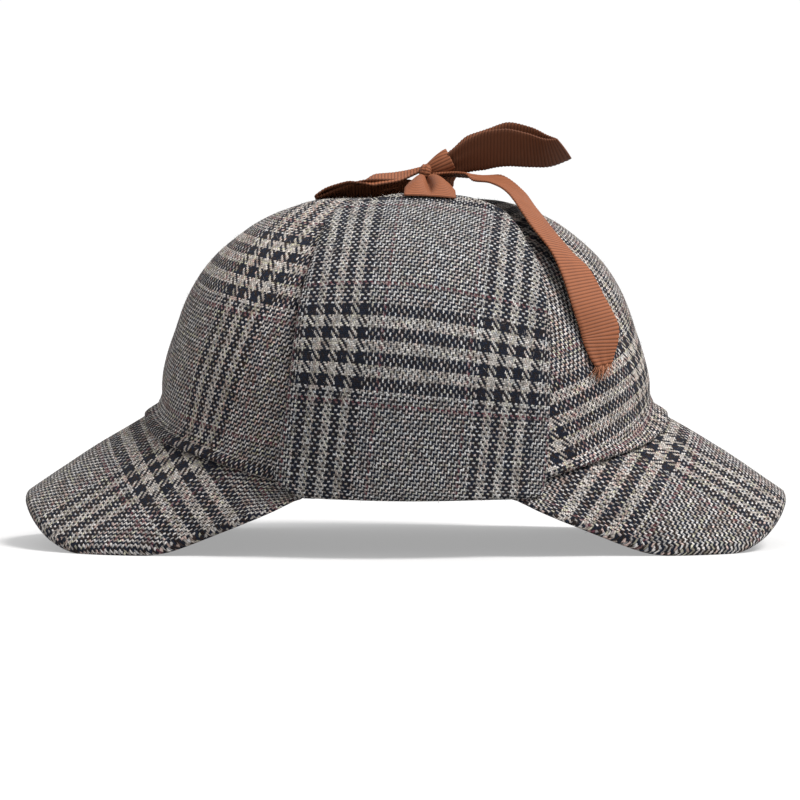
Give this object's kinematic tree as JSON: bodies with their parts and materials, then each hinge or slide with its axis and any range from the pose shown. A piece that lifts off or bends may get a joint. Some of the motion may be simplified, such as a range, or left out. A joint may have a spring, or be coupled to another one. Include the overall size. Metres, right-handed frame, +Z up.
{
  "type": "deerstalker hat",
  "caption": "Soft checked wool hat with a peak in front and behind, ear flaps folded up the sides and a ribbon bow tied over the crown.",
  "frame": {"origin": "on the surface that the hat lies on, below the middle of its bounding box", "axes": "-X towards the front peak, +X towards the back peak, -Y the near side, +Z up"},
  "size_m": [0.298, 0.171, 0.1627],
  "materials": {
    "tweed": "matt woven wool in a black and beige check",
    "ribbon": "ribbed rust brown ribbon with a slight sheen"
  },
  "bodies": {
    "root": {"crown_gore_back_far": "tweed", "crown_gore_side_far": "tweed", "crown_gore_front_far": "tweed", "crown_gore_front_near": "tweed", "crown_gore_side_near": "tweed", "crown_gore_back_near": "tweed", "front_peak": "tweed", "back_peak": "tweed", "near_ear_flap": "tweed", "far_ear_flap": "tweed", "ribbon_knot": "ribbon", "near_tie": "ribbon", "far_tie": "ribbon", "back_bow_loop": "ribbon", "front_bow_loop": "ribbon", "near_tail": "ribbon", "far_tail": "ribbon"}
  },
  "joints": []
}
